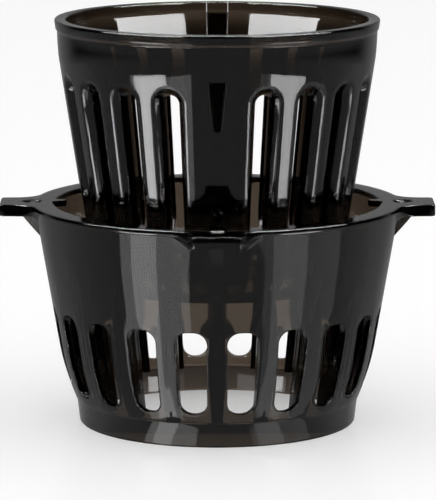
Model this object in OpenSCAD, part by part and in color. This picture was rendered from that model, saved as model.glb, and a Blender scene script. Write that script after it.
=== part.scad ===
// Two-part juicing strainer of a slow juicer: a slotted inner drum that lifts out of a ribbed
// outer basket. Origin: centre of the basket's foot, on the surface it stands on. +Z is up.
// Each moulding is drawn as its named regions, which meet face to face.

/* [Inner drum] */
// Outer radius of the lip round the drum's mouth
drum_lip_r = 53.2; // [45:0.1:64]
// Height of the lip
drum_lip_h = 3.4; // [2:0.1:5]
// Overall height of the drum
drum_h = 87.4; // [70:0.1:106]
// Step from the lip in to the wall below it
lip_step = 0.9; // [0.5:0.1:2]
// Depth of the near-upright band below the mouth
shoulder_drop = 11.9; // [9:0.1:14]
// How much the near-upright band narrows
shoulder_draft = 0.4; // [0:0.1:1]
// Narrowing of the wall for each millimetre of height
drum_slope = 0.154; // [0.1:0.001:0.2]
// Wall thickness at the shoulder
drum_wall = 2.8; // [2.2:0.1:3.4]
// Radius of the opening in the drum's floor
floor_hole_r = 31; // [24:0.5:34]
// Thickness of the drum's floor
floor_t = 1.8; // [1.2:0.1:3]

/* [Drum slots] */
// Positions round the drum, slots and panels together, a multiple of four
positions = 20; // [16:4:24]
// Angle of a slot at the outer face
slot_angle_out = 11.6; // [8:0.1:12]
// Angle of a slot at the inner face
slot_angle_in = 6.7; // [5:0.1:7.5]
// Distance from the mouth down to the top of the slots
slot_top_drop = 17.6; // [15:0.1:22]
// Height of the slots' lower end above the drum's bottom
slot_bottom_h = 8.6; // [6:0.1:12]
// Height of the bars' lower tips above the drum's bottom
bar_tip_h = 4; // [3:0.1:5]
// Height of the panels' lower edges above the drum's bottom
panel_tip_h = 2.8; // [2:0.1:4]
// Gap between the ribs' noses and the neck below the slots, with the drum lowered
neck_gap = 0.4; // [0.3:0.1:0.5]

/* [Keyways and keys] */
// Width of the keyway at its upper end, at the panel's outer face
keyway_w = 5.2; // [4:0.1:7]
// Width of the keyway's floor
keyway_floor_w = 2.3; // [1.6:0.1:3]
// Depth of the keyway at its upper end
keyway_depth = 2.5; // [1.8:0.1:3]
// Gap between the keys and the keyways' floors
key_clearance = 0.7; // [0.4:0.1:1]
// How far the keys stand above the basket's rim
key_proud = 0.4; // [0:0.1:1]
// Wall left behind a keyway
keyway_backing = 2; // [1.5:0.1:3]

/* [Seating] */
// How far the drum is lifted from its seat as drawn
lift = 44.9; // [30:0.1:55]
// Gap under the seated drum's floor
seat_gap = 1.1; // [0.5:0.1:3]
// Gap left over a key when the drum is seated
stop_gap = 0.3; // [0.2:0.1:0.6]

/* [Outer basket] */
// Height of the basket
basket_h = 72.8; // [60:0.1:88]
// Gap between the drum's lip and the basket's inner rim
lip_clearance = 0.5; // [0.3:0.1:1]
// Width of the rim between the ears
rim_w = 6.9; // [5.5:0.1:9]
// Thickness of the rim between the ears
rim_t = 1.8; // [1.2:0.1:3]
// How far the rim stands out past the wall
rim_step = 0.4; // [0.2:0.1:1.5]
// Thickness of the basket's wall
basket_wall = 2.6; // [2:0.1:3.2]
// Widening of the wall for each millimetre of height
basket_slope = 0.171; // [0.12:0.001:0.2]
// Height at which the wall starts to turn in
tuck_h = 25.5; // [20:0.5:32]
// Extra inward turn of the wall down to the foot
tuck_in = 2.2; // [0.5:0.1:3]

/* [Basket slots and ribs] */
// Height of the slots' lower end
window_bottom = 11.4; // [10.5:0.1:14]
// Height of the slots' upper end
window_top = 39; // [34:0.1:48]
// Radius of the slots' corners
window_corner_r = 4.1; // [2:0.1:5]
// Width of a bar between two slots
bar_w = 6.6; // [5:0.1:8]
// Width of a rib at the wall
rib_w = 4.6; // [3:0.1:5.5]
// Width of a rib at its inner edge
rib_nose_w = 2.4; // [1.5:0.1:3.5]
// How far a rib reaches into a drum slot
rib_reach = 1.2; // [0.5:0.1:1.6]
// Gap between a short rib and the panel it faces
rib_gap = 0.6; // [0.4:0.1:1.2]
// Height of the ribs' pointed tips
rib_top = 55.6; // [48:0.1:60]
// Height over which the ribs run out to their tips
rib_runout = 17; // [10:0.5:22]

/* [Foot] */
// Height of the foot ring
foot_h = 8.4; // [6:0.1:10]
// Step from the wall in to the foot ring
foot_step = 0.5; // [0.2:0.1:1.5]
// Radial thickness of the foot ring
foot_w = 3.6; // [2.8:0.1:3.8]
// Narrowing of the foot ring over its height
foot_draft = 0.9; // [0:0.1:1.5]

/* [Ears] */
// Distance from the axis to an ear's tip
ear_reach = 71.9; // [67:0.1:80]
// Width of an ear at its tip
ear_w = 15.7; // [12:0.1:20]
// Thickness of an ear
ear_t = 3.8; // [3:0.1:5]
// Radius of the flare between an ear and the rim
ear_flare_r = 9; // [5:0.1:10]
// Radius of the tip's corners
ear_corner_r = 0.8; // [0.3:0.1:2]
// Radius of the dimple in each ear
dimple_r = 3.5; // [2:0.1:4.5]
// Depth of the dimple
dimple_depth = 1; // [0.4:0.1:1.5]
// Width of the web under each ear
web_w = 4.2; // [3:0.1:6]
// How far the web stands out from the wall
web_out = 4.6; // [3:0.1:6]
// Height of the web below the ear
web_h = 6.4; // [4:0.1:9]

/* [Hidden] */
$fn = 180;
// Overrun of the cutting shapes
eps = 1;
quarter = 90;
pitch = 360 / positions;
panel_every = positions / 4;
slots = [for (i = [0 : positions - 1]) if (i % panel_every != 0) i];
panels = [for (i = [0 : positions - 1]) if (i % panel_every == 0) i];
// Front of the object faces -Y
front = -90;

// Drum: heights from the drum's own bottom
drum_z = seat_gap + lift;
band_r = drum_lip_r - lip_step;
shoulder_r = band_r - shoulder_draft;
shoulder_h = drum_h - shoulder_drop;
lip_bottom_h = drum_h - drum_lip_h;
mouth_r = band_r - drum_wall;
slot_top_h = drum_h - slot_top_drop;
crown_rise = shoulder_r * tan(slot_angle_out / 2);
crown_h = slot_top_h - crown_rise;
// The collar starts a little below the slots' rounded upper ends
collar_h = crown_h - 2;

function drum_r(h) = shoulder_r - drum_slope * (shoulder_h - h);
function drum_in_r(h) = drum_r(h) * (1 - drum_wall / shoulder_r);

// Basket
rim_in_r = drum_lip_r + lip_clearance;
rim_out_r = rim_in_r + rim_w;
rim_bottom = basket_h - rim_t;
wall_top_r = rim_out_r - rim_step;
tuck_r = wall_top_r - basket_slope * (basket_h - tuck_h);
tuck_mid_h = foot_h + (tuck_h - foot_h) * 0.55;
wall_bottom_r = tuck_r - basket_slope * (tuck_h - foot_h) - tuck_in;
tuck_mid_r = wall_bottom_r + (tuck_r - wall_bottom_r) * 0.63;
foot_top_r = wall_bottom_r - foot_step;
foot_bottom_r = foot_top_r - foot_draft;
foot_in_r = foot_top_r - foot_w;
window_arc_r = min(window_corner_r, (basket_r(window_bottom) * sin(pitch / 2) * 2 - bar_w) * 0.48);
// The sill and the wall band reach a little past the slots' rounded ends
sill_top = window_bottom + window_arc_r + 0.6;
lintel_bottom = window_top - window_arc_r - 1.4;
key_top = basket_h + key_proud;
keyway_top_h = key_top + lift + stop_gap - drum_z;
keyway_floor_r = drum_r(keyway_top_h) - keyway_depth;
key_in_r = keyway_floor_r + key_clearance;
neck_inset = rib_reach + neck_gap;
keyway_flare = (keyway_w - keyway_floor_w) / 2 / keyway_depth;
keyway_backing_r = keyway_floor_r - keyway_backing;
keyway_bottom_h = shoulder_h - (shoulder_r - keyway_floor_r) / drum_slope;
dimple_centre_r = rim_out_r + dimple_r / 6;

// Radius of the seated drum's outer face at a height above the table
function seated_r(z) = drum_r(z - seat_gap);

module smoke_plastic() {
    color([0.09, 0.09, 0.1, 0.75]) children();
}

// Solid inside the drum's outer face, moved in by an inset
module drum_core(h0, h1, inset = 0) {
    translate([0, 0, h0])
        cylinder(h = h1 - h0, r1 = drum_r(h0) - inset, r2 = drum_r(h1) - inset);
}

// Ring of the drum's wall between two heights
module drum_shell(h0, h1, inset = 0) {
    rotate_extrude()
        polygon([[drum_in_r(h0), h0], [drum_r(h0) - inset, h0],
            [drum_r(h1) - inset, h1], [drum_in_r(h1), h1]]);
}

// Tapered wedge that opens one sector of the drum's wall between two heights.
// Its faces all run to the apex of the drum's cone, so the slots narrow as the drum does.
module drum_wedge(h0, h1, half_out, half_in) {
    r_out = drum_r(h0) * 1.1;
    r_in = drum_in_r(h0) * 0.85;
    w_out = drum_r(h0) * tan(half_out);
    w_in = drum_in_r(h0) * tan(half_in);
    run = (w_out - w_in) / (drum_r(h0) - drum_in_r(h0));
    far_w = w_out + (r_out - drum_r(h0)) * run;
    near_w = max(0.4, w_in - (drum_in_r(h0) - r_in) * run);
    // The wedge keeps its flare a little way inside the wall
    knee = 0.5;
    knee_r = drum_in_r(h0) - knee;
    knee_w = max(near_w, w_in - knee * run);
    translate([0, 0, h0])
        linear_extrude(height = h1 - h0, scale = drum_r(h1) / drum_r(h0))
            polygon([[r_in, -near_w], [knee_r, -knee_w], [r_out, -far_w],
                [r_out, far_w], [knee_r, knee_w], [r_in, near_w]]);
}

module slot_wedges(h0, h1) {
    for (i = slots)
        rotate([0, 0, front + i * pitch])
            drum_wedge(h0, h1, slot_angle_out / 2, slot_angle_in / 2);
}

// Rounded upper ends of the drum's slots, as steps that narrow along a quarter circle
module slot_crowns() {
    slot_wedges(collar_h - eps, crown_h);
    steps = 4;
    for (k = [0 : steps - 1]) {
        a0 = 90 * k / steps;
        a1 = 90 * (k + 1) / steps;
        h0 = crown_h + crown_rise * sin(a0);
        h1 = crown_h + crown_rise * sin(a1);
        for (i = slots)
            rotate([0, 0, front + i * pitch])
                drum_wedge(h0 - 0.01, h1, slot_angle_out / 2 * cos(a0), slot_angle_in / 2 * cos(a0));
    }
}

// Plan of a keyway or key, widening outward from its inner face
module key_plan(inner_r, outer_r) {
    inner_w = keyway_floor_w / 2;
    outer_w = inner_w + (outer_r - inner_r) * keyway_flare;
    polygon([[inner_r, -inner_w], [outer_r, -outer_w], [outer_r, outer_w], [inner_r, inner_w]]);
}

// Keyways: run-out grooves down the outer face of the panels
module keyways() {
    for (i = panels)
        rotate([0, 0, front + i * pitch])
            translate([0, 0, keyway_bottom_h - eps])
                linear_extrude(height = keyway_top_h - keyway_bottom_h + eps)
                    key_plan(keyway_floor_r, drum_lip_r + eps);
}

module drum_lip() {
    smoke_plastic()
        translate([0, 0, drum_z + lip_bottom_h])
            difference() {
                union() {
                    cylinder(h = drum_lip_h, r = band_r);
                    translate([0, 0, drum_lip_h / 2])
                        rotate_extrude()
                            translate([drum_lip_r - drum_lip_h / 2, 0])
                                circle(d = drum_lip_h);
                }
                translate([0, 0, -eps])
                    cylinder(h = drum_lip_h + 2 * eps, r = mouth_r);
            }
}

module drum_collar() {
    smoke_plastic()
        translate([0, 0, drum_z])
            difference() {
                rotate_extrude()
                    polygon([[drum_in_r(collar_h), collar_h], [drum_r(collar_h), collar_h],
                        [shoulder_r, shoulder_h], [band_r, lip_bottom_h],
                        [mouth_r, lip_bottom_h], [drum_in_r(shoulder_h), shoulder_h]]);
                slot_crowns();
                keyways();
            }
}

// Sectors of the drum's wall between the neck and the collar
module drum_staves(tip_h) {
    difference() {
        drum_shell(tip_h, collar_h);
        slot_wedges(tip_h - eps, collar_h + eps);
        drum_core(tip_h - eps, slot_bottom_h, neck_inset);
    }
}

module drum_panels() {
    stave_half = pitch * 0.99;
    smoke_plastic()
        translate([0, 0, drum_z])
            difference() {
                intersection() {
                    drum_staves(panel_tip_h);
                    for (i = panels)
                        rotate([0, 0, front + i * pitch])
                            drum_wedge(panel_tip_h - eps, collar_h + eps, stave_half, stave_half);
                }
                keyways();
            }
}

module drum_bars() {
    stave_half = pitch * 0.99;
    smoke_plastic()
        translate([0, 0, drum_z])
            difference() {
                drum_staves(bar_tip_h);
                for (i = panels)
                    rotate([0, 0, front + i * pitch])
                        drum_wedge(bar_tip_h - 2 * eps, collar_h + 2 * eps, stave_half, stave_half);
            }
}

// Pads that back the keyways inside the drum
module drum_keyway_pads() {
    pad_w = keyway_w + 2;
    pad_bottom = keyway_bottom_h - 2;
    smoke_plastic()
        translate([0, 0, drum_z])
            for (i = panels)
                rotate([0, 0, front + i * pitch])
                    intersection() {
                        translate([keyway_backing_r, -pad_w / 2, pad_bottom])
                            cube([drum_wall * 2, pad_w, lip_bottom_h - pad_bottom]);
                        rotate_extrude()
                            polygon([[floor_hole_r, pad_bottom - eps],
                                [drum_in_r(pad_bottom - eps), pad_bottom - eps],
                                [drum_in_r(shoulder_h), shoulder_h], [mouth_r, lip_bottom_h],
                                [mouth_r, drum_h], [floor_hole_r, drum_h]]);
                    }
}

module drum_neck() {
    smoke_plastic()
        translate([0, 0, drum_z])
            drum_shell(floor_t, slot_bottom_h, neck_inset);
}

module drum_floor() {
    smoke_plastic()
        translate([0, 0, drum_z])
            difference() {
                drum_core(0, floor_t, neck_inset);
                translate([0, 0, -eps])
                    cylinder(h = floor_t + 2 * eps, r = floor_hole_r);
            }
}

// Solid inside the basket's wall
module basket_core() {
    rotate_extrude()
        polygon([[foot_in_r / 2, foot_h], [basket_r(foot_h), foot_h], [tuck_mid_r, tuck_mid_h],
            [tuck_r, tuck_h], [wall_top_r, basket_h], [foot_in_r / 2, basket_h]]);
}

// Ring of the basket's wall between two heights, with its bends in between
module basket_shell(z0, z1) {
    bends = [for (z = [tuck_mid_h, tuck_h]) if (z > z0 && z < z1) z];
    up = concat([z0], bends, [z1]);
    n = len(up);
    outer = [for (z = up) [basket_r(z), z]];
    inner = [for (k = [n - 1 : -1 : 0]) [basket_r(up[k]) - basket_wall, up[k]]];
    rotate_extrude()
        polygon(concat(outer, inner));
}

// Slots between the basket's bars, half a pitch off the drum's positions
module windows() {
    bottom_w = 2 * basket_r(window_bottom + window_arc_r) * sin(pitch / 2) - bar_w;
    top_w = 2 * basket_r(window_top - window_arc_r) * sin(pitch / 2) - bar_w;
    for (i = [0 : positions - 1])
        rotate([0, 0, front + (i + 0.5) * pitch])
            rotate([90, 0, 90])
                translate([0, 0, foot_in_r - 3])
                    linear_extrude(height = rim_out_r - foot_in_r + 4)
                        polygon(window_outline(bottom_w / 2, top_w / 2));
}

// A slot's outline: tapered sides with rounded ends
function window_outline(b, t) = concat(
    [for (a = [180 : 22.5 : 270]) [-b + window_arc_r, window_bottom + window_arc_r] + arc(a)],
    [for (a = [270 : 22.5 : 360]) [b - window_arc_r, window_bottom + window_arc_r] + arc(a)],
    [for (a = [0 : 22.5 : 90]) [t - window_arc_r, window_top - window_arc_r] + arc(a)],
    [for (a = [90 : 22.5 : 180]) [-t + window_arc_r, window_top - window_arc_r] + arc(a)]);

function arc(a) = window_arc_r * [cos(a), sin(a)];

function basket_r(z) = z > tuck_h
    ? tuck_r + (wall_top_r - tuck_r) * (z - tuck_h) / (basket_h - tuck_h)
    : z > tuck_mid_h
        ? tuck_mid_r + (tuck_r - tuck_mid_r) * (z - tuck_mid_h) / (tuck_h - tuck_mid_h)
        : wall_bottom_r + (tuck_mid_r - wall_bottom_r) * (z - foot_h) / (tuck_mid_h - foot_h);

module basket_rim() {
    smoke_plastic()
        difference() {
            translate([0, 0, rim_bottom])
                cylinder(h = rim_t, r = rim_out_r);
            translate([0, 0, rim_bottom - eps])
                cylinder(h = rim_t + 2 * eps, r = rim_in_r);
            dimples();
        }
}

module dimples() {
    for (i = panels)
        rotate([0, 0, front + i * pitch])
            translate([dimple_centre_r, 0, basket_h - dimple_depth])
                cylinder(h = dimple_depth + eps, r = dimple_r);
}

// Keys on the rim's inner edge that ride in the keyways and carry the seated drum
module basket_keys() {
    smoke_plastic()
        for (i = panels)
            rotate([0, 0, front + i * pitch])
                intersection() {
                    translate([0, 0, rim_bottom])
                        linear_extrude(height = key_top - rim_bottom)
                            key_plan(key_in_r, rim_out_r);
                    translate([0, 0, rim_bottom])
                        cylinder(h = key_top - rim_bottom, r = rim_in_r);
                }
}

// Outline of an ear, pointing along +X
module ear_outline() {
    flare_y = ear_w / 2 + ear_flare_r;
    flare_x = sqrt(pow(rim_out_r + ear_flare_r, 2) - pow(flare_y, 2));
    difference() {
        union() {
            translate([rim_in_r, -ear_w / 2])
                square([ear_reach - ear_corner_r - rim_in_r, ear_w]);
            translate([rim_in_r, -ear_w / 2 + ear_corner_r])
                square([ear_reach - rim_in_r, ear_w - 2 * ear_corner_r]);
            for (s = [-1, 1])
                translate([ear_reach - ear_corner_r, s * (ear_w / 2 - ear_corner_r)])
                    circle(r = ear_corner_r);
            polygon([[flare_x / 2, -flare_y / 2], [flare_x, -flare_y],
                [flare_x, flare_y], [flare_x / 2, flare_y / 2]]);
        }
        for (s = [-1, 1])
            translate([flare_x, s * flare_y])
                circle(r = ear_flare_r);
    }
}

// An ear, less the rim and the wall that it grows from
module ear(turn) {
    smoke_plastic()
        difference() {
            rotate([0, 0, front + turn])
                translate([0, 0, basket_h - ear_t])
                    linear_extrude(height = ear_t)
                        ear_outline();
            translate([0, 0, rim_bottom])
                cylinder(h = rim_t + eps, r = rim_out_r);
            basket_core();
            dimples();
        }
}

module web(turn) {
    web_top = basket_h - ear_t;
    web_bottom = web_top - web_h;
    smoke_plastic()
        difference() {
            rotate([0, 0, front + turn])
                translate([0, web_w / 2, 0])
                    rotate([90, 0, 0])
                        linear_extrude(height = web_w)
                            polygon([[basket_r(web_bottom) - eps, web_bottom - eps * basket_slope],
                                [basket_r(web_top) + web_out, web_top],
                                [basket_r(web_bottom) - eps, web_top]]);
            basket_core();
        }
}

module ear_front() { ear(0); }
module ear_right() { ear(quarter); }
module ear_back() { ear(2 * quarter); }
module ear_left() { ear(3 * quarter); }
module web_front() { web(0); }
module web_right() { web(quarter); }
module web_back() { web(2 * quarter); }
module web_left() { web(3 * quarter); }

module basket_wall_band() {
    smoke_plastic()
        difference() {
            basket_shell(lintel_bottom, rim_bottom);
            windows();
        }
}

module basket_bars() {
    smoke_plastic()
        difference() {
            basket_shell(sill_top, lintel_bottom);
            windows();
        }
}

// Upright ribs inside the wall, one behind each bar, running out to a point above the slots
module basket_ribs() {
    smoke_plastic()
        intersection() {
            for (i = [0 : positions - 1])
                rotate([0, 0, front + i * pitch])
                    rib(i % panel_every == 0 ? -rib_gap : rib_reach);
            rotate_extrude()
                polygon([[floor_hole_r, foot_h], [basket_r(foot_h) - basket_wall, foot_h],
                    [tuck_mid_r - basket_wall, tuck_mid_h], [tuck_r - basket_wall, tuck_h],
                    [wall_top_r - basket_wall, basket_h], [floor_hole_r, basket_h]]);
        }
}

module rib(reach) {
    knee = rib_top - rib_runout;
    nose_r = seated_r(foot_h) - reach;
    intersection() {
        translate([0, rib_w, 0])
            rotate([90, 0, 0])
                linear_extrude(height = 2 * rib_w)
                    polygon([[nose_r, foot_h], [seated_r(knee) - reach, knee],
                        [basket_r(rib_top) - basket_wall, rib_top],
                        [rim_out_r, rib_top - 0.01], [rim_out_r, foot_h]]);
        translate([0, 0, foot_h - eps])
            linear_extrude(height = basket_h)
                polygon([[nose_r - eps, -rib_nose_w / 2], [nose_r + basket_wall, -rib_nose_w / 2],
                    [rim_out_r, -rib_w / 2], [rim_out_r, rib_w / 2],
                    [nose_r + basket_wall, rib_nose_w / 2], [nose_r - eps, rib_nose_w / 2]]);
    }
}

module basket_sill() {
    smoke_plastic()
        difference() {
            basket_shell(foot_h, sill_top);
            windows();
        }
}

module basket_foot() {
    smoke_plastic()
        difference() {
            cylinder(h = foot_h, r1 = foot_bottom_r, r2 = foot_top_r);
            translate([0, 0, -eps])
                cylinder(h = foot_h + 2 * eps, r = foot_in_r);
        }
}

drum_lip();
drum_collar();
drum_panels();
drum_bars();
drum_keyway_pads();
drum_neck();
drum_floor();
basket_rim();
basket_keys();
ear_front();
ear_right();
ear_back();
ear_left();
web_front();
web_right();
web_back();
web_left();
basket_wall_band();  // basket_wall
basket_bars();
basket_ribs();
basket_sill();
basket_foot();
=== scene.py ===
import math
import bmesh
import bpy
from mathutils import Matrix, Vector


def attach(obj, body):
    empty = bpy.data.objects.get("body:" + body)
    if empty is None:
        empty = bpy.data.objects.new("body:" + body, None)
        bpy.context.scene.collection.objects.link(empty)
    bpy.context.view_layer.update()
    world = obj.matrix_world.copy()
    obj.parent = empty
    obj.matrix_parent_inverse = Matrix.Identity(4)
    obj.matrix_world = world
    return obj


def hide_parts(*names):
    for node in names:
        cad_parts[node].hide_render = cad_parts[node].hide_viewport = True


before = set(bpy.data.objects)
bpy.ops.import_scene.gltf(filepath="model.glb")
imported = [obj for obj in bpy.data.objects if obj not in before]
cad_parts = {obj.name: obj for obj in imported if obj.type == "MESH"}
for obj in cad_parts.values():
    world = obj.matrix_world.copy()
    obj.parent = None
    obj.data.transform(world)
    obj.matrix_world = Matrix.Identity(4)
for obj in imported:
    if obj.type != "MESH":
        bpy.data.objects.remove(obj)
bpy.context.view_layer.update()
print("frame loaded")

mm = 0.001


# small helpers

def lerp(a, b, t):
    return a + (b - a) * t


def polar(degrees, radius, height):
    a = math.radians(degrees)
    return (radius * math.cos(a) * mm, radius * math.sin(a) * mm, height * mm)


def bendThrough(start, corner, end, steps):
    # points after the start of a soft corner, the end among them
    out = []
    for k in range(1, steps + 1):
        t = k / steps
        out.append(tuple((1 - t) ** 2 * a + 2 * t * (1 - t) * c + t * t * b
                         for a, c, b in zip(start, corner, end)))
    return out


def smoothCurve(knots, x):
    # a smooth curve through (x, y) knots
    n = len(knots)
    i = 0
    while i < n - 2 and x > knots[i + 1][0]:
        i += 1
    x0, y0 = knots[i]
    x1, y1 = knots[i + 1]
    slope = (y1 - y0) / (x1 - x0)
    before = (y1 - knots[i - 1][1]) / (x1 - knots[i - 1][0]) if i > 0 else slope
    after = (knots[i + 2][1] - y0) / (knots[i + 2][0] - x0) if i < n - 2 else slope
    t = (x - x0) / (x1 - x0)
    w = x1 - x0
    return ((2 * t ** 3 - 3 * t ** 2 + 1) * y0 + (t ** 3 - 2 * t ** 2 + t) * w * before
            + (3 * t ** 2 - 2 * t ** 3) * y1 + (t ** 3 - t ** 2) * w * after)


def newSkin():
    return {"points": [], "faces": []}


def addSheet(skin, rows, flip=False):
    start = len(skin["points"])
    wide = len(rows[0])
    for row in rows:
        skin["points"].extend(row)
    for r in range(len(rows) - 1):
        for c in range(wide - 1):
            a = start + r * wide + c
            quad = (a, a + 1, a + wide + 1, a + wide)
            skin["faces"].append(quad[::-1] if flip else quad)


def addPatch(skin, points, flip=False):
    start = len(skin["points"])
    skin["points"].extend(points)
    ring = tuple(range(start, start + len(points)))
    skin["faces"].append(ring[::-1] if flip else ring)


def skinObject(skin, name, mirrored=True):
    # a half cell and its mirror image, joined along the middle
    n = len(skin["points"])
    points, faces = skin["points"], skin["faces"]
    if mirrored:
        points = points + [(x, -y, z) for x, y, z in points]
        faces = faces + [tuple(i + n for i in reversed(f)) for f in faces]
    mesh = bpy.data.meshes.new(name)
    mesh.from_pydata(points, [], faces)
    work = bmesh.new()
    work.from_mesh(mesh)
    bmesh.ops.remove_doubles(work, verts=work.verts, dist=0.008 * mm)
    if not mirrored:
        bmesh.ops.recalc_face_normals(work, faces=work.faces)
    work.to_mesh(mesh)
    work.free()
    made = bpy.data.objects.new(name, mesh)
    bpy.context.scene.collection.objects.link(made)
    return made


# the drum's cells

drumSizes = {
    "bottom": 46.0,          # height of the drum's underside
    "height": 87.4,
    "shoulder": (75.5, 51.9),
    "slope": 0.154,
    "wallShare": 0.059,      # wall thickness over radius, at the floor
    "extraDepth": 2.4,       # more wall between the slots
    "deepTaper": 0.12,
    "slotHalf": 5.8,         # degrees at the outer face
    "crownTop": 70.0,
    "slotBottom": 8.6,
    "sideTaper": 0.82,
    "tipTaper": 0.4,
    "barTip": 4.0,
    "barTipRise": 3.1,
    "panelTip": 2.8,
    "panelCorner": 4.0,
    "neckDepth": 1.6,
    "joinHeight": 73.0,
    "holeRadius": 31.0,
    "floorThickness": 1.8,
    "edge": 1.1,
    "innerEdge": 0.3,
    "keyway": {"top": 72.4, "rows": (68.3, 64.2, 60.2), "bottom": 56.15, "floorRadius": 48.92,
               "channel": 1.15, "flare": 0.6},
    "pad": {"half": 3.6, "radius": 45.2, "bottom": 54.0},
}


def drumRadius(h):
    top, r = drumSizes["shoulder"]
    return r - drumSizes["slope"] * (top - h)


def drumHalf(panel):
    d = drumSizes
    skin = newSkin()
    span = 18.0 if panel else 9.0
    crownSteps, sideSteps, tipSteps, ledgeSteps, outerSteps = 10, 14, 8, 4, 3
    half, edge, inner = d["slotHalf"], d["edge"], d["innerEdge"]

    def perDegree(h):
        return drumRadius(h) * math.pi / 180

    def at(u, h, depth):
        return polar(u - span, drumRadius(h) - depth, d["bottom"] + h)

    def skinDepth(h):
        return drumRadius(h) * d["wallShare"]

    def wall(h):
        # full depth from a little above the slots' lower end, thinning to the floor
        rise = min(1.0, max(0.0, (h - d["slotBottom"]) / 8))
        return skinDepth(h) + d["extraDepth"] * rise * rise * (3 - 2 * rise)

    reach = half + d["panelCorner"] / perDegree(5) + 1.2 if panel else span
    crownRise = half * perDegree(65)
    crownH = d["crownTop"] - crownRise
    path = []   # (u, h, normal u, normal h, taper)
    for k in range(crownSteps + 1):
        t = math.radians(90 * k / crownSteps)
        across, up = math.sin(t), math.cos(t)
        path.append((half * across, crownH + crownRise * up, across, up, d["sideTaper"]))
    for k in range(1, sideSteps + 1):
        path.append((half, lerp(crownH, d["slotBottom"], k / sideSteps), 1, 0, d["sideTaper"]))
    turn = len(path) - 1
    if panel:
        tipU, tipRise, tipH = d["panelCorner"] / perDegree(5), d["panelCorner"], d["panelTip"]
    else:
        tipU, tipRise, tipH = span - half, d["barTipRise"], d["barTip"]
    for k in range(tipSteps):
        t = math.radians(90 * k / (tipSteps - 1))
        across, up = math.cos(t), math.sin(t)
        taper = lerp(d["sideTaper"], d["tipTaper"], k / (tipSteps - 1))
        path.append((half + tipU * (1 - across), tipH + tipRise * (1 - up), across, up, taper))
    if panel:   # the flat lower edge as far as the panel's middle part
        path[-1] = (reach, tipH, 0, 1, d["tipTaper"])
    last = len(path) - 1
    lowest = tipH + edge

    key = d["keyway"]
    keyRows = [d["joinHeight"], key["top"] + 0.06, key["top"] - 0.06, *key["rows"],
               key["bottom"] + 0.6, key["bottom"]]
    rest = last - crownSteps - len(keyRows) + 1
    sideHeights = keyRows + [lerp(keyRows[-1], lowest, (k + 1) / rest) for k in range(rest)]
    innerRows = turn - crownSteps
    innerHeights = [lerp(d["joinHeight"], d["slotBottom"], k / innerRows) for k in range(innerRows + 1)]

    def outerGoal(i):
        if i <= crownSteps:
            return reach * i / crownSteps, d["joinHeight"]
        return reach, sideHeights[i - crownSteps]

    def innerGoal(i):
        if i <= crownSteps:
            return reach * i / crownSteps, d["joinHeight"]
        return reach, innerHeights[i - crownSteps]

    def spot(i, off, depth):
        u, h, nu, nh, taper = path[i]
        return u + nu * off / perDegree(h), h + nh * off, depth

    def edgeProfile(i):
        # offset and depth from the outer face round the edge and in to the neck's depth
        taper = path[i][4]
        rows = [(edge, 0.0)] + bendThrough((edge, 0), (0, 0), (-taper * edge, edge), 4)
        rows.append((-taper * d["neckDepth"], d["neckDepth"]))
        return rows

    def innerProfile(i):
        h, taper = path[i][1], path[i][4]
        knee, deep = skinDepth(h) - inner - 0.3, wall(h)
        floor = -taper * knee - d["deepTaper"] * (deep - knee)
        start = (floor, deep - inner)
        return [(-taper * d["neckDepth"], d["neckDepth"]), (-taper * knee, knee), start] + bendThrough(
            start, (floor, deep), (floor + inner, deep), 3)

    # outer face, slot edge, and the slot's side as deep as the neck
    columns = []
    for i in range(last + 1):
        gu, gh = outerGoal(i)
        pu, ph, _ = spot(i, edge, 0)
        column = [at(lerp(gu, pu, k / outerSteps), lerp(gh, ph, k / outerSteps), 0)
                  for k in range(outerSteps)]
        column += [at(*spot(i, off, depth)) for off, depth in edgeProfile(i)]
        columns.append(column)
    addSheet(skin, columns)
    neckLine = [spot(i, *edgeProfile(i)[-1]) for i in range(turn, last + 1)]

    # the rest of the slot's side, and the inner face
    innerSteps = last - turn
    columns = []
    for i in range(turn + 1):
        profile = innerProfile(i)
        column = [at(*spot(i, off, depth)) for off, depth in profile]
        su, sh, _ = spot(i, *profile[-1])
        gu, gh = innerGoal(i)
        for k in range(1, innerSteps + 1):
            u, h = lerp(su, gu, k / innerSteps), lerp(sh, gh, k / innerSteps)
            column.append(at(u, h, wall(h)))
        columns.append(column)
    addSheet(skin, columns)

    # ledge at the slot's lower end
    rows = []
    ledgeBack = []
    for off, depth in innerProfile(turn):
        u, h, _ = spot(turn, off, depth)
        rows.append([at(u * k / ledgeSteps, h, depth) for k in range(ledgeSteps + 1)])
        ledgeBack = [u * k / ledgeSteps for k in range(ledgeSteps + 1)]
    addSheet(skin, rows)
    ledgeFront = [spot(turn, *innerProfile(turn)[0])[0] * k / ledgeSteps for k in range(ledgeSteps + 1)]

    # the panel's middle part: keyway outside, pad inside
    middle = 6 if panel else 0

    def keywayDepth(h):
        return max(0.0, drumRadius(h) - key["floorRadius"]) if h < key["top"] else 0.0

    def middleOuter(h, base=0.0):
        deep = keywayDepth(h)
        brink = key["channel"] + key["flare"] * deep + (0.3 if deep <= 0 else 0.1)
        soft = min(1.0, deep / 0.5)
        stations = [(brink + 0.45, 0), (brink + 0.15, 0.05 * soft), (brink - 0.06, 0.2 * soft),
                    (key["channel"], deep), (0, deep)]
        out = [(reach, 0.0), (lerp(reach, span, 0.25), 0.0)]
        return out + [(span - s / perDegree(h), depth) for s, depth in stations]

    def padDepth(h):
        r = drumRadius(h) - wall(h)
        return max(0.0, r - d["pad"]["radius"]) if h > d["pad"]["bottom"] else 0.0

    def middleInner(h, proud=None):
        extra = padDepth(h) if proud is None else proud
        p = d["pad"]["half"]
        stations = [(p + 0.25, 0), (p, extra * 0.3), (p - 0.25, extra), (p * 0.5, extra), (0, extra)]
        out = [(reach, 0.0), (lerp(reach, span, 0.25), 0.0)]
        return out + [(span - s / perDegree(h), depth) for s, depth in stations]

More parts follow.
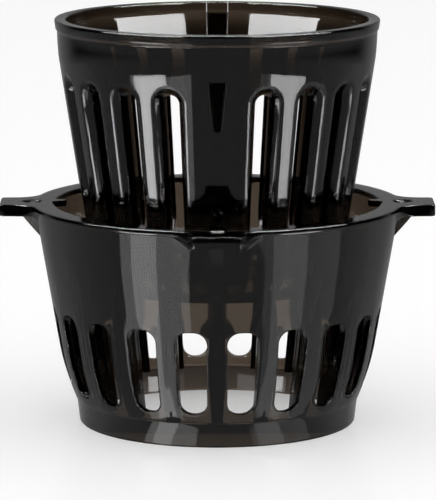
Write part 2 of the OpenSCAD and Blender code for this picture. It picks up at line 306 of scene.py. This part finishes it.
    if panel:
        rows = []
        for h in sideHeights:
            rows.append([at(u, h, depth) for u, depth in middleOuter(h)])
        for off, depth in edgeProfile(last)[1:]:
            h = tipH + off
            rows.append([at(u, h, depth) for u, _ in middleOuter(h)])
        addSheet(skin, rows, flip=True)
        neckLine += [(u, tipH + edgeProfile(last)[-1][0], d["neckDepth"]) for u, _ in middleOuter(lowest)[1:]]
        rows = []
        for h in innerHeights:
            rows.append([at(u, h, wall(h) + depth) for u, depth in middleInner(h)])
        addSheet(skin, rows)

    # columns that run round the top and the bottom
    topColumns = [reach * k / crownSteps for k in range(crownSteps + 1)]
    if panel:
        topColumns += [None] * middle
    bottomInner = ledgeBack + [lerp(ledgeBack[-1], reach, k / innerSteps) for k in range(1, innerSteps + 1)]
    if panel:
        bottomInner += [u for u, _ in middleInner(d["slotBottom"])[1:]]

    def ringRow(r, h):
        row = [polar(u - span, r, d["bottom"] + h) for u in topColumns if u is not None]
        return row

    shoulderH, shoulderR = d["shoulder"]
    outerTop = [(drumRadius(73), 73), (drumRadius(74.6), 74.6), (51.95, 76.2), (52.18, 79.6),
                (52.32, 83.2), (52.4, 83.75), (52.62, 84.0), (52.82, 84.3), (52.88, 84.8),
                (53.14, 86.5), (53.15, 86.9), (53.05, 87.2), (52.8, 87.4)]
    innerTop = [(50.0, 87.4), (49.7, 87.3), (49.53, 87.1), (49.5, 86.8), (49.5, 84.0), (49.2, 82.3),
                (drumRadius(75.5) - wall(75.5), 75.5), (drumRadius(73) - wall(73), 73)]
    rows = []
    for r, h in outerTop:
        row = ringRow(r, h)
        if panel:
            row += [polar(u - span, r, d["bottom"] + h) for u, _ in middleOuter(73)[1:]]
        rows.append(row)
    for r, h in innerTop:
        row = ringRow(r, h)
        if panel:
            proud = 0.0 if h > 84 else max(0.0, r - d["pad"]["radius"])
            if h == 84.0:   # the pad's flat top
                rows.append(row + [polar(u - span, r, d["bottom"] + h) for u, _ in middleInner(73, 0)[1:]])
            row = row + [polar(u - span, r - depth, d["bottom"] + h - (0.02 if h == 84.0 else 0))
                         for u, depth in middleInner(73, proud)[1:]]
        rows.append(row)
    addSheet(skin, rows, flip=True)

    # inner face below the slots, floor, and the neck's outer face
    def ringLow(radius, h):
        return [polar(u - span, radius, d["bottom"] + h) for u in bottomInner]

    floorT, hole = d["floorThickness"], d["holeRadius"]
    rows = []
    for h in (d["slotBottom"], 5.5, floorT + 0.8):
        rows.append([polar(u - span, drumRadius(h) - wall(h), d["bottom"] + h) for u in bottomInner])
    foot = drumRadius(floorT) - wall(floorT)
    for r, h in bendThrough((foot, floorT + 0.8), (foot, floorT), (foot - 0.8, floorT), 3):
        rows.append(ringLow(r, h))
    for r, h in [(hole + 0.4, floorT)] + bendThrough(
            (hole + 0.4, floorT), (hole, floorT), (hole, floorT - 0.4), 3):
        rows.append(ringLow(r, h))
    for r, h in [(hole, 0.4)] + bendThrough((hole, 0.4), (hole, 0), (hole + 0.4, 0), 3):
        rows.append(ringLow(r, h))
    rim = drumRadius(0) - d["neckDepth"]
    for r, h in [(rim - 0.5, 0)] + bendThrough((rim - 0.5, 0), (rim, 0), (rim, 0.5), 3):
        rows.append(ringLow(r, h))
    addSheet(skin, rows, flip=True)

    top = [(u, d["slotBottom"]) for u in ledgeFront[:-1]] + [(u, h) for u, h, _ in neckLine]
    rows = []
    for k in range(4):
        row = []
        for (u, h), low in zip(top, bottomInner):
            hh = lerp(h, 0.5, k / 3)
            uu = lerp(u, low, k / 3)
            drop = drumRadius(0.5) - drumRadius(0) if k == 3 else 0.0
            row.append(polar(uu - span, drumRadius(hh) - d["neckDepth"] - drop, d["bottom"] + hh))
        rows.append(row)
    addSheet(skin, rows, flip=True)
    return skin


# the basket's cells

basketSizes = {
    "wall": [(8.4, 46.98), (9.4, 47.35), (13.4, 48.85), (17.4, 50.2), (21.5, 51.3),
             (25.5, 52.12), (39.6, 54.52), (49.7, 56.25), (59.8, 57.98), (72.8, 60.2)],
    "thickness": 2.6,
    "windowBottom": 11.4,
    "windowTop": 39.0,
    "corner": 4.1,
    "barWidth": 6.6,
    "ribTop": 55.9,
    "ribRunout": 17.0,
    "ribNose": 1.15,
    "ribDraft": 0.26,
    "ribReach": 1.2,
    "shortRibGap": 0.6,
    "joinHeight": 57.5,
    "footHeight": 8.4,
    "footTop": 46.48,
    "footBottom": 45.58,
    "footInner": 42.88,
    "rimInner": 53.7,
    "rimOuter": 60.6,
    "rimBottom": 71.0,
    "top": 72.8,
    "edge": 0.45,
    "innerEdge": 0.3,
}

earSizes = {
    "reach": 71.4,
    "width": 15.7,
    "thickness": 3.8,
    "flare": 9.0,
    "corner": 0.9,
    "rootFillet": 3.2,
    "webLow": 61.4,
    "webOut": 63.9,
    "dimpleAt": 61.0,
    "dimpleRadius": 3.1,
    "dimpleDepth": 0.9,
    "key": {"inner": 49.62, "outer": 54.2, "narrow": 1.15, "wide": 2.9, "top": 73.2},
}


def wallRadius(z):
    return smoothCurve(basketSizes["wall"], z)


def seatedRadius(z):
    return drumRadius(z - 1.1)


def basketHalf(short):
    b = basketSizes
    skin = newSkin()
    flatSteps, cornerSteps, sideSteps, outerSteps, innerSteps = 3, 9, 11, 4, 3
    topSteps = flatSteps + cornerSteps
    thick, edge, inner = b["thickness"], b["edge"], b["innerEdge"]

    def at(u, z, depth):
        return polar(u - 9, wallRadius(z) - depth, z)

    def toDegrees(x, z, depth):
        return math.degrees(x / (wallRadius(z) - depth))

    corner = b["corner"]
    zTop, zLow = b["windowTop"] - corner, b["windowBottom"] + corner
    wTop = wallRadius(zTop) * math.radians(9) - b["barWidth"] / 2
    wLow = wallRadius(zLow) * math.radians(9) - b["barWidth"] / 2
    path = []
    for k in range(flatSteps):
        path.append(((wTop - corner) * k / flatSteps, b["windowTop"], 0, 1))
    for k in range(cornerSteps + 1):
        t = math.radians(90 * k / cornerSteps)
        across, up = math.sin(t), math.cos(t)
        path.append((wTop - corner + corner * across, zTop + corner * up, across, up))
    for k in range(1, sideSteps):
        path.append((lerp(wTop, wLow, k / sideSteps), lerp(zTop, zLow, k / sideSteps), 1, 0))
    for k in range(cornerSteps + 1):
        t = math.radians(90 * k / cornerSteps)
        across, down = math.cos(t), math.sin(t)
        path.append((wLow - corner + corner * across, zLow - corner * down, across, -down))
    for k in range(1, flatSteps + 1):
        path.append(((wLow - corner) * (1 - k / flatSteps), b["windowBottom"], 0, -1))
    last = len(path) - 1
    lowTurn = topSteps + sideSteps

    footZ = b["footHeight"]
    knee = b["ribTop"] - b["ribRunout"]
    reach = -b["shortRibGap"] if short else b["ribReach"]

    def innerWall(z):
        return wallRadius(z) - thick

    def noseRadius(z):
        if z <= knee:
            return seatedRadius(z) - reach
        t = (z - knee) / (b["ribTop"] - knee)
        return lerp(seatedRadius(knee) - reach, innerWall(b["ribTop"]), t)

    def ribSection(z):
        # half widths and radii from the root to the nose's middle
        root, nose = innerWall(z), noseRadius(z)
        deep = max(0.0, root - nose)
        slim = min(1.0, deep / 1.5)
        narrow = b["ribNose"] * slim
        wide = narrow + b["ribDraft"] * deep
        low = innerWall(footZ)
        share = (low - b["footInner"]) / (low - noseRadius(footZ))
        soft = min(0.5, deep * 0.4)
        side = (narrow + b["ribDraft"] * soft, nose + soft)
        out = [(wide, root), (lerp(wide, narrow, share), lerp(root, nose, share)), side]
        out += bendThrough(side, (narrow, nose), (narrow * 0.45, nose), 3)
        out.append((0.0, nose))
        return out

    sectionLow = ribSection(footZ)
    rootU = 9 - math.degrees(sectionLow[0][0] / sectionLow[0][1])
    waistU = 9 - math.degrees(sectionLow[1][0] / sectionLow[1][1])
    join = b["joinHeight"]
    ribHeights = [lerp(b["ribTop"], footZ, k / (sideSteps - 1)) for k in range(sideSteps)]

    def outerGoal(i):
        if i <= topSteps:
            return 9 * i / topSteps, join
        if i < lowTurn:
            return 9, lerp(join, footZ, (i - topSteps) / (sideSteps - 1))
        return waistU * (last - i) / (last - lowTurn), footZ

    def innerGoal(i):
        if i <= topSteps:
            return 9 * i / topSteps, join
        if i <= lowTurn:
            z = ribHeights[i - topSteps - 1]
            wide, r = ribSection(z)[0]
            return 9 - math.degrees(wide / r), z
        return rootU * (last - i) / (last - lowTurn), footZ

    def spot(i, off, depth):
        x, z, nx, nz = path[i]
        z = z + nz * off
        return toDegrees(x + nx * off, z, depth), z, depth

    through = [(edge, 0.0)] + bendThrough((edge, 0), (0, 0), (0, edge), 4)
    through += [(0, thick - inner)] + bendThrough((0, thick - inner), (0, thick), (inner, thick), 3)
    columns = []
    for i in range(last + 1):
        gu, gz = outerGoal(i)
        pu, pz, _ = spot(i, edge, 0)
        column = [at(lerp(gu, pu, k / outerSteps), lerp(gz, pz, k / outerSteps), 0)
                  for k in range(outerSteps)]
        column += [at(*spot(i, off, depth)) for off, depth in through]
        su, sz, _ = spot(i, inner, thick)
        gu, gz = innerGoal(i)
        column += [at(lerp(su, gu, k / innerSteps), lerp(sz, gz, k / innerSteps), thick)
                   for k in range(1, innerSteps + 1)]
        columns.append(column)
    addSheet(skin, columns)

    # the rib behind the bar
    rows = [[polar(-math.degrees(w / r), r, z) for w, r in ribSection(z)] for z in ribHeights]
    addSheet(skin, rows)
    under = [polar(-math.degrees(w / r), r, footZ) for w, r in sectionLow[1:]]
    addPatch(skin, under + [polar(0, b["footInner"], footZ)])

    # foot
    goals = [outerGoal(i)[0] for i in range(last, lowTurn - 1, -1)] + [9.0]
    foot = [(wallRadius(footZ), footZ)]
    foot += bendThrough((wallRadius(footZ), footZ), (46.9, footZ - 0.25), (46.62, footZ - 0.3), 2)
    foot += [(b["footTop"], footZ - 0.5), (45.66, 0.7)]
    foot += bendThrough((45.66, 0.7), (b["footBottom"], 0), (45.0, 0), 3)
    foot += [(43.4, 0)] + bendThrough((43.4, 0), (b["footInner"], 0), (b["footInner"], 0.5), 3)
    foot += [(b["footInner"], footZ)]
    addSheet(skin, [[polar(u - 9, r, z) for u in goals] for r, z in foot])
    ledge = [[polar(waistU * k / 12 - 9, b["footInner"], footZ) for k in range(13)],
             [polar(rootU * k / 12 - 9, innerWall(footZ), footZ) for k in range(13)]]
    addSheet(skin, ledge)
    return skin


def rimInside():
    # from the rim's upper face down to the join, as (radius, height)
    b = basketSizes
    inner, top, low = b["rimInner"], b["top"], b["rimBottom"]
    wall = wallRadius(70.2) - b["thickness"]
    rows = bendThrough((inner + 0.4, top), (inner, top), (inner, top - 0.4), 3)
    rows += [(inner, low + 0.3)] + bendThrough((inner, low + 0.3), (inner, low), (inner + 0.3, low), 2)
    rows += [(wall - 0.6, low)] + bendThrough((wall - 0.6, low), (wall, low), (wall, low - 0.8), 3)
    rows += [(wallRadius(z) - b["thickness"], z) for z in (66, 61.5, b["joinHeight"])]
    return rows


def earHalf():
    b, e = basketSizes, earSizes
    skin = newSkin()
    outer, halfW = b["rimOuter"], e["width"] / 2
    flareY = halfW + e["flare"]
    flareX = math.sqrt((outer + e["flare"]) ** 2 - flareY ** 2)
    outline = []   # plan points from the tip's middle round to the plain rim
    for k in range(6):
        outline.append((e["reach"], (halfW - e["corner"]) * k / 5))
    for k in range(1, 4):
        t = math.radians(30 * k)
        outline.append((e["reach"] - e["corner"] * (1 - math.cos(t)),
                        halfW - e["corner"] * (1 - math.sin(t))))
    for k in range(1, 4):
        outline.append((lerp(e["reach"] - e["corner"], flareX, k / 3), halfW))
    meet = math.degrees(math.atan2(flareY, flareX))
    for k in range(1, 10):
        t = math.radians(lerp(270, 180 + meet, k / 9))
        outline.append((flareX + e["flare"] * math.cos(t), flareY + e["flare"] * math.sin(t)))
    for k in range(1, 5):
        t = math.radians(lerp(meet, 18, k / 4))
        outline.append((outer * math.cos(t), outer * math.sin(t)))
    columns = []
    for c, (ox, oy) in enumerate(outline):
        even = 18 * c / 24
        wallU = {1: 0.95, 2: 1.85, 3: 2.45}.get(c, even)
        ease = min(1.0, max(0.0, (c - 12) / 8))
        ease = ease * ease * (3 - 2 * ease)
        low = lerp(b["top"] - e["thickness"], b["rimBottom"], ease)
        turned = math.degrees(math.atan2(oy, ox))
        columns.append(rimColumn(even, wallU, turned, math.hypot(ox, oy), low, c <= 2))
    addSheet(skin, [[polar(-u, r, z) for u, r, z in column] for column in columns])
    return skin


def rimColumn(even, wallU, angO, rO, low, web):
    # one column from the join up the wall, out to the edge, over the top and down inside
    b, e = basketSizes, earSizes
    top, soft = b["top"], 0.4
    length = rO - wallRadius(low)
    fillet = min(e["rootFillet"], length * 0.45)
    small = min(soft, length * 0.3)
    column = [(even, wallRadius(b["joinHeight"]), b["joinHeight"]), (wallU, wallRadius(60.5), 60.5)]

    def along(run, z):
        q = run / length
        return (lerp(wallU, angO, q), lerp(wallRadius(min(z, low)), rO, q), z)

    if web:
        start, out = e["webLow"], e["webOut"]
        column.append((wallU, wallRadius(start), start))
        column += [(wallU, lerp(wallRadius(start), out, k / 5), lerp(start, 67.9, k / 5))
                   for k in (1, 2, 3, 4)]
        column += [along(out + 0.2 - wallRadius(low), 68.2), along(out + 0.9 - wallRadius(low), low)]
    else:
        column.append((wallU, wallRadius(low - fillet), low - fillet))
        for k in range(1, 7):
            t = k / 6
            column.append(along(fillet * t * t, low - fillet * (1 - t) ** 2))
    column.append(along(length - small, low))
    column += [along(run, z) for run, z in bendThrough(
        (length - small, low), (length, low), (length, low + small), 2)]
    column.append((angO, rO, top - soft))
    column += [(angO, rO - run, z) for run, z in bendThrough((0, top - soft), (0, top), (soft, top), 3)]
    column += [(lerp(angO, even, k / 8), lerp(rO - soft, b["rimInner"] + 0.4, k / 8), top)
               for k in range(1, 9)]
    return column + [(even, r, z) for r, z in rimInside()]


def rimHalf():
    skin = newSkin()
    column = rimColumn(0, 0, 0, basketSizes["rimOuter"], basketSizes["rimBottom"], False)
    addSheet(skin, [[polar(9 * k / 12 - 9, r, z) for _, r, z in column] for k in range(13)])
    return skin


def keyBlock():
    # a key on the rim's inner edge, wider towards the rim, with softened upper corners
    e, low, soft = earSizes["key"], 71.3, 0.35
    skin = newSkin()
    stations = [(e["inner"], e["narrow"]),
                (e["inner"] + 1.5, lerp(e["narrow"], e["wide"], 0.37)),
                (e["outer"], e["wide"])]
    rings = []
    for n, (r, half) in enumerate(stations):
        front = soft if n == 0 else 0.0
        section = [(-half, low), (-half, e["top"] - soft), (-half + soft, e["top"]), (half - soft, e["top"]),
                   (half, e["top"] - soft), (half, low)]
        rings.append([((r + (front if z > e["top"] - 0.1 else 0)) * mm, y * mm, z * mm) for y, z in section])
    addSheet(skin, [ring + ring[:1] for ring in rings])
    addPatch(skin, rings[0])
    addPatch(skin, rings[-1], flip=True)
    return skin


def dimpleCutters():
    # dishes that hollow the ears, each with a low pip in the middle
    e = earSizes
    top, r, deep = basketSizes["top"], e["dimpleRadius"], e["dimpleDepth"]
    low = top - deep
    profile = [(0, top + 1), (r + 1.2, top + 1), (r + 0.55, top + 0.02), (r + 0.15, top - 0.12),
               (r, top - 0.4), (r - 0.2, low + 0.25), (r - 0.5, low), (1.5, low), (1.3, low + 0.3),
               (1.0, low + 0.42), (0, low + 0.45)]
    skin = newSkin()
    for quarter in range(4):
        turn = math.radians(90 * quarter)
        middle = Vector((e["dimpleAt"] * math.cos(turn), e["dimpleAt"] * math.sin(turn), 0)) * mm
        rows = []
        for radius, z in profile:
            ring = []
            for k in range(49):
                a = math.radians(7.5 * k)
                x, y = middle.x + radius * math.cos(a) * mm, middle.y + radius * math.sin(a) * mm
                ring.append((x, y, z * mm))
            rows.append(ring)
        addSheet(skin, rows)
    return skin


# Geometry Nodes that set the cells round the axis

def socketOf(tree, name):
    for item in tree.interface.items_tree:
        if item.item_type == "SOCKET" and item.in_out == "INPUT" and item.name == name:
            return item.identifier


def ringTree(name, kinds):
    # kinds: name of each cell, how many, and the terms of its angles
    tree = bpy.data.node_groups.new(name, "GeometryNodeTree")
    face = tree.interface
    face.new_socket("Geometry", in_out="INPUT", socket_type="NodeSocketGeometry")
    face.new_socket("Geometry", in_out="OUTPUT", socket_type="NodeSocketGeometry")
    face.new_socket("Finish", in_out="INPUT", socket_type="NodeSocketMaterial")
    face.new_socket("Seam", in_out="INPUT", socket_type="NodeSocketFloat")
    for kind in kinds:
        face.new_socket(kind + " Cell", in_out="INPUT", socket_type="NodeSocketObject")
        face.new_socket(kind + " Count", in_out="INPUT", socket_type="NodeSocketInt")
        face.new_socket(kind + " In A Group", in_out="INPUT", socket_type="NodeSocketInt")
        face.new_socket(kind + " First Angle", in_out="INPUT", socket_type="NodeSocketFloat")
        face.new_socket(kind + " Step", in_out="INPUT", socket_type="NodeSocketFloat")
        face.new_socket(kind + " Group Step", in_out="INPUT", socket_type="NodeSocketFloat")
    nodes, links = tree.nodes, tree.links
    given = nodes.new("NodeGroupInput")
    result = nodes.new("NodeGroupOutput")
    index = nodes.new("GeometryNodeInputIndex")
    join = nodes.new("GeometryNodeJoinGeometry")

    def maths(operation, a, b):
        node = nodes.new("ShaderNodeMath")
        node.operation = operation
        for slot, value in zip(node.inputs, (a, b)):
            if isinstance(value, (int, float)):
                slot.default_value = value
            else:
                links.new(value, slot)
        return node.outputs[0]

    for kind in kinds:
        points = nodes.new("GeometryNodePoints")
        links.new(given.outputs[kind + " Count"], points.inputs["Count"])
        size = given.outputs[kind + " In A Group"]
        group = maths("FLOOR", maths("DIVIDE", index.outputs[0], size), 0)
        place = maths("SUBTRACT", index.outputs[0], maths("MULTIPLY", group, size))
        angle = maths("ADD", given.outputs[kind + " First Angle"],
                      maths("ADD", maths("MULTIPLY", place, given.outputs[kind + " Step"]),
                            maths("MULTIPLY", group, given.outputs[kind + " Group Step"])))
        turn = nodes.new("ShaderNodeCombineXYZ")
        links.new(angle, turn.inputs["Z"])
        cell = nodes.new("GeometryNodeObjectInfo")
        links.new(given.outputs[kind + " Cell"], cell.inputs["Object"])
        spread = nodes.new("GeometryNodeInstanceOnPoints")
        links.new(points.outputs[0], spread.inputs["Points"])
        links.new(cell.outputs["Geometry"], spread.inputs["Instance"])
        links.new(turn.outputs[0], spread.inputs["Rotation"])
        links.new(spread.outputs[0], join.inputs[0])
    real = nodes.new("GeometryNodeRealizeInstances")
    merge = nodes.new("GeometryNodeMergeByDistance")
    finish = nodes.new("GeometryNodeSetMaterial")
    links.new(join.outputs[0], real.inputs[0])
    links.new(real.outputs[0], merge.inputs[0])
    links.new(given.outputs["Seam"], merge.inputs["Distance"])
    links.new(merge.outputs[0], finish.inputs[0])
    links.new(given.outputs["Finish"], finish.inputs["Material"])
    links.new(finish.outputs[0], result.inputs[0])
    return tree


def ringPiece(name, kinds, finish):
    # kinds: cell name to (object, count, in a group, first angle, step, group step), in degrees
    tree = ringTree(name + "Ring", list(kinds))
    host = bpy.data.objects.new(name + "Host", bpy.data.meshes.new(name + "Host"))
    bpy.context.scene.collection.objects.link(host)
    ring = host.modifiers.new("ring", "NODES")
    ring.node_group = tree
    ring[socketOf(tree, "Finish")] = finish
    ring[socketOf(tree, "Seam")] = 0.01 * mm
    for kind, (cell, count, inGroup, first, step, groupStep) in kinds.items():
        ring[socketOf(tree, kind + " Cell")] = cell
        ring[socketOf(tree, kind + " Count")] = count
        ring[socketOf(tree, kind + " In A Group")] = inGroup
        ring[socketOf(tree, kind + " First Angle")] = math.radians(first)
        ring[socketOf(tree, kind + " Step")] = math.radians(step)
        ring[socketOf(tree, kind + " Group Step")] = math.radians(groupStep)
    bpy.context.view_layer.update()
    seen = host.evaluated_get(bpy.context.evaluated_depsgraph_get())
    mesh = bpy.data.meshes.new_from_object(seen)
    host.modifiers.remove(ring)
    bpy.data.objects.remove(host)
    for cell, *_ in kinds.values():
        bpy.data.objects.remove(cell)
    work = bmesh.new()
    work.from_mesh(mesh)
    loose = sum(len(x.link_faces) != 2 for x in work.edges)
    print(name, "faces", len(work.faces), "edges not shared by two faces", loose)
    bmesh.ops.recalc_face_normals(work, faces=work.faces)
    if work.calc_volume(signed=True) < 0:
        bmesh.ops.reverse_faces(work, faces=work.faces)
    work.to_mesh(mesh)
    work.free()
    mesh.name = name
    for poly in mesh.polygons:
        poly.use_smooth = True
    mesh.set_sharp_from_angle(angle=math.radians(38))
    made = bpy.data.objects.new(name, mesh)
    bpy.context.scene.collection.objects.link(made)
    return made


def cutWith(piece, cutter):
    cut = piece.modifiers.new("cut", "BOOLEAN")
    cut.object = cutter
    cut.operation = "DIFFERENCE"
    cut.solver = "EXACT"
    seen = piece.evaluated_get(bpy.context.evaluated_depsgraph_get())
    mesh = bpy.data.meshes.new_from_object(seen)
    piece.modifiers.remove(cut)
    piece.data = mesh
    bpy.data.objects.remove(cutter)
    for poly in mesh.polygons:
        poly.use_smooth = True
    mesh.set_sharp_from_angle(angle=math.radians(38))


# finish

plasticLook = {
    "tint": (0.205, 0.125, 0.032),       # what the plastic lets through, per unit of depth
    "density": 1300.0,
    "surface": (0.9, 0.9, 0.9),
    "roughness": (0.03, 0.07),
    "specular": 0.5,
    "waviness": 0.02,
    "bending": 1.46,
    "cloudScale": 45,
    "cloudDetail": 3,
    "waveScale": 60,
    "waveDepth": 0.001,
}


def makePlastic():
    look = plasticLook
    plastic = bpy.data.materials.new("smokyPlastic")
    plastic.use_nodes = True
    nodes, links = plastic.node_tree.nodes, plastic.node_tree.links
    shader = nodes["Principled BSDF"]
    out = nodes["Material Output"]
    shader.inputs["Base Color"].default_value = (*look["surface"], 1)
    shader.inputs["Transmission Weight"].default_value = 1.0
    shader.inputs["IOR"].default_value = look["bending"]
    shader.inputs["Specular IOR Level"].default_value = look["specular"]
    where = nodes.new("ShaderNodeTexCoord")
    cloud = nodes.new("ShaderNodeTexNoise")
    cloud.inputs["Scale"].default_value = look["cloudScale"]
    cloud.inputs["Detail"].default_value = look["cloudDetail"]
    links.new(where.outputs["Object"], cloud.inputs["Vector"])
    spread = nodes.new("ShaderNodeMapRange")
    spread.inputs["To Min"].default_value, spread.inputs["To Max"].default_value = look["roughness"]
    links.new(cloud.outputs["Fac"], spread.inputs["Value"])
    links.new(spread.outputs["Result"], shader.inputs["Roughness"])
    wave = nodes.new("ShaderNodeTexNoise")
    wave.inputs["Scale"].default_value = look["waveScale"]
    links.new(where.outputs["Object"], wave.inputs["Vector"])
    bump = nodes.new("ShaderNodeBump")
    bump.inputs["Strength"].default_value = look["waviness"]
    bump.inputs["Distance"].default_value = look["waveDepth"]
    links.new(wave.outputs["Fac"], bump.inputs["Height"])
    links.new(bump.outputs["Normal"], shader.inputs["Normal"])
    depth = nodes.new("ShaderNodeVolumeAbsorption")
    depth.inputs["Color"].default_value = (*look["tint"], 1)
    depth.inputs["Density"].default_value = look["density"]
    links.new(depth.outputs["Volume"], out.inputs["Volume"])
    return plastic


plastic = makePlastic()
print("finish made")

innerDrum = ringPiece("innerDrum", {
    "Panel": (skinObject(drumHalf(True), "panelCell"), 4, 1, -90, 0, 90),
    "Bar": (skinObject(drumHalf(False), "barCell"), 12, 3, -63, 18, 90),
}, plastic)
print("drum made")

outerBasket = ringPiece("outerBasket", {
    "Short Rib": (skinObject(basketHalf(True), "shortRibCell"), 4, 1, -90, 0, 90),
    "Long Rib": (skinObject(basketHalf(False), "longRibCell"), 16, 4, -72, 18, 90),
    "Ear": (skinObject(earHalf(), "earCell"), 4, 1, -90, 0, 90),
    "Rim": (skinObject(rimHalf(), "rimCell"), 12, 3, -63, 18, 90),
    "Key": (skinObject(keyBlock(), "keyCell", False), 4, 1, -90, 0, 90),
}, plastic)
dishes = skinObject(dimpleCutters(), "dimpleCutters", False)
dishes.data.materials.append(plastic)
cutWith(outerBasket, dishes)
print("basket made")

for piece, body in ((innerDrum, "drum"), (outerBasket, "basket")):
    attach(piece, body)
    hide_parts(*[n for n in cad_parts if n.startswith("drum_") == (body == "drum")])


# floor, light and camera

setting = {
    "floorTone": 0.78,
    "floorGlow": 0.27,
    "floorRoughness": 0.3,
    "floorSheen": 0.3,
    "floorRings": (0.3, 0.8, 1.6, 3.0, 6.0),
    "roomLight": 1.15,       # on the floor
    "roomFront": 0.45,        # in the object's reflections, low in front
    "roomDark": 0.03,        # level and higher in front
    "roomBack": 0.32,        # and behind
    "frontSlope": (-0.24, -0.16),    # how far down a reflection points, from bright to dark
    "backTurn": (0.45, 0.8),         # how far back it points, from front to behind
    "boxes": [               # azimuth from the front, half its width, lowest and highest point, brightness
        ("leftHigh", -58, 31, 0.35, 1.6, 16),
        ("rightHigh", 58, 31, 0.35, 1.6, 16),
        ("leftLow", -50, 9, -1.5, -0.34, 2.0),
        ("leftSoft", -43, 24, -1.5, -0.36, 1.5),
        ("leftMiddle", -51, 13, -0.505, -0.33, 8),
        ("rightLow", 50, 12, -1.5, -0.34, 0.8),
        ("rightSoft", 60, 28, -1.5, -0.36, 0.45),
        ("rightMiddle", 54, 14, -0.505, -0.33, 7),
    ],
    "boxDistance": 1.2,
    "topBox": {"size": 1.4, "height": 1.5, "back": -0.25, "bright": 8},
}


def makeFloor():
    skin = newSkin()
    rings = setting["floorRings"]

    def onFloor(r, degrees):
        return r * math.cos(math.radians(degrees)), r * math.sin(math.radians(degrees)), 0.0

    addSheet(skin, [[onFloor(r, a) for a in range(0, 361, 10)] for r in rings], flip=True)
    addPatch(skin, [onFloor(rings[0], a) for a in range(0, 360, 10)])
    mesh = bpy.data.meshes.new("studioFloor")
    mesh.from_pydata(skin["points"], [], skin["faces"])
    floor = bpy.data.objects.new("studioFloor", mesh)
    bpy.context.scene.collection.objects.link(floor)
    paper = bpy.data.materials.new("palePaper")
    paper.use_nodes = True
    shader = paper.node_tree.nodes["Principled BSDF"]
    tone = setting["floorTone"]
    shader.inputs["Base Color"].default_value = (tone, tone, tone, 1)
    shader.inputs["Roughness"].default_value = setting["floorRoughness"]
    shader.inputs["Specular IOR Level"].default_value = setting["floorSheen"]
    shader.inputs["Emission Color"].default_value = (1, 1, 1, 1)
    shader.inputs["Emission Strength"].default_value = setting["floorGlow"]
    mesh.materials.append(paper)
    floor.visible_glossy = False   # the object reflects the room, not the floor


def addLight(name, sizes, bright, place, turn):
    # a softbox that only the object's reflections show
    data = bpy.data.lights.new(name, "AREA")
    data.shape = "RECTANGLE"
    data.size, data.size_y = sizes
    data.energy = bright * math.pi * data.size * data.size_y
    light = bpy.data.objects.new(name, data)
    light.location = place
    light.rotation_euler = turn
    light.visible_camera = light.visible_diffuse = light.visible_transmission = False
    bpy.context.scene.collection.objects.link(light)


def addBox(name, azimuth, half, low, high, bright):
    away, a = setting["boxDistance"], math.radians(azimuth)
    sizes = (2 * away * math.tan(math.radians(half)), high - low)
    place = (away * math.sin(a), -away * math.cos(a), (low + high) / 2)
    addLight(name, sizes, bright, place, (math.radians(90), 0, a))


def makeRoom():
    # white to the eye, and in reflections white behind the object and dim in front of it
    world = bpy.data.worlds.new("studio")
    bpy.context.scene.world = world
    world.use_nodes = True
    nodes, links = world.node_tree.nodes, world.node_tree.links
    plain = nodes["Background"]
    plain.inputs["Color"].default_value = (1, 1, 1, 1)
    plain.inputs["Strength"].default_value = setting["roomLight"]
    mirrored = nodes.new("ShaderNodeBackground")
    where = nodes.new("ShaderNodeTexCoord")
    split = nodes.new("ShaderNodeSeparateXYZ")
    links.new(where.outputs["Generated"], split.inputs[0])
    ramp = nodes.new("ShaderNodeMapRange")
    ramp.interpolation_type = "SMOOTHSTEP"
    ramp.inputs["From Min"].default_value, ramp.inputs["From Max"].default_value = setting["backTurn"]
    front = nodes.new("ShaderNodeMapRange")
    front.interpolation_type = "SMOOTHSTEP"
    front.inputs["From Min"].default_value, front.inputs["From Max"].default_value = setting["frontSlope"]
    front.inputs["To Min"].default_value = setting["roomFront"]
    front.inputs["To Max"].default_value = setting["roomDark"]
    links.new(split.outputs["Z"], front.inputs["Value"])
    links.new(front.outputs["Result"], ramp.inputs["To Min"])
    ramp.inputs["To Max"].default_value = setting["roomBack"]
    links.new(split.outputs["Y"], ramp.inputs["Value"])
    links.new(ramp.outputs["Result"], mirrored.inputs["Strength"])
    path = nodes.new("ShaderNodeLightPath")
    through = nodes.new("ShaderNodeMath")
    through.operation = "SUBTRACT"
    through.use_clamp = True
    links.new(path.outputs["Is Glossy Ray"], through.inputs[0])
    links.new(path.outputs["Is Transmission Ray"], through.inputs[1])
    mix = nodes.new("ShaderNodeMixShader")
    links.new(through.outputs[0], mix.inputs["Fac"])
    links.new(plain.outputs[0], mix.inputs[1])
    links.new(mirrored.outputs[0], mix.inputs[2])
    links.new(mix.outputs[0], nodes["World Output"].inputs["Surface"])


makeFloor()
makeRoom()
for box in setting["boxes"]:
    addBox(*box)
over = setting["topBox"]
addLight("top", (over["size"], over["size"]), over["bright"], (0, over["back"], over["height"]), (0, 0, 0))

eye = {"elevation": 9.9, "aimHeight": 0.05645, "distance": 1.188,
       "lens": 259.2, "sensor": 36, "shift": 0.0016}
cameraData = bpy.data.cameras.new("camera")
camera = bpy.data.objects.new("camera", cameraData)
bpy.context.scene.collection.objects.link(camera)
lift = math.radians(eye["elevation"])
aim = Vector((0, 0, eye["aimHeight"]))
camera.location = aim + eye["distance"] * Vector((0, -math.cos(lift), math.sin(lift)))
camera.rotation_euler = (aim - camera.location).to_track_quat("-Z", "Y").to_euler()
cameraData.lens = eye["lens"]
cameraData.sensor_width = eye["sensor"]
cameraData.shift_x = eye["shift"]
bpy.context.scene.camera = camera
bpy.context.scene.view_settings.view_transform = "Standard"
print("studio made")
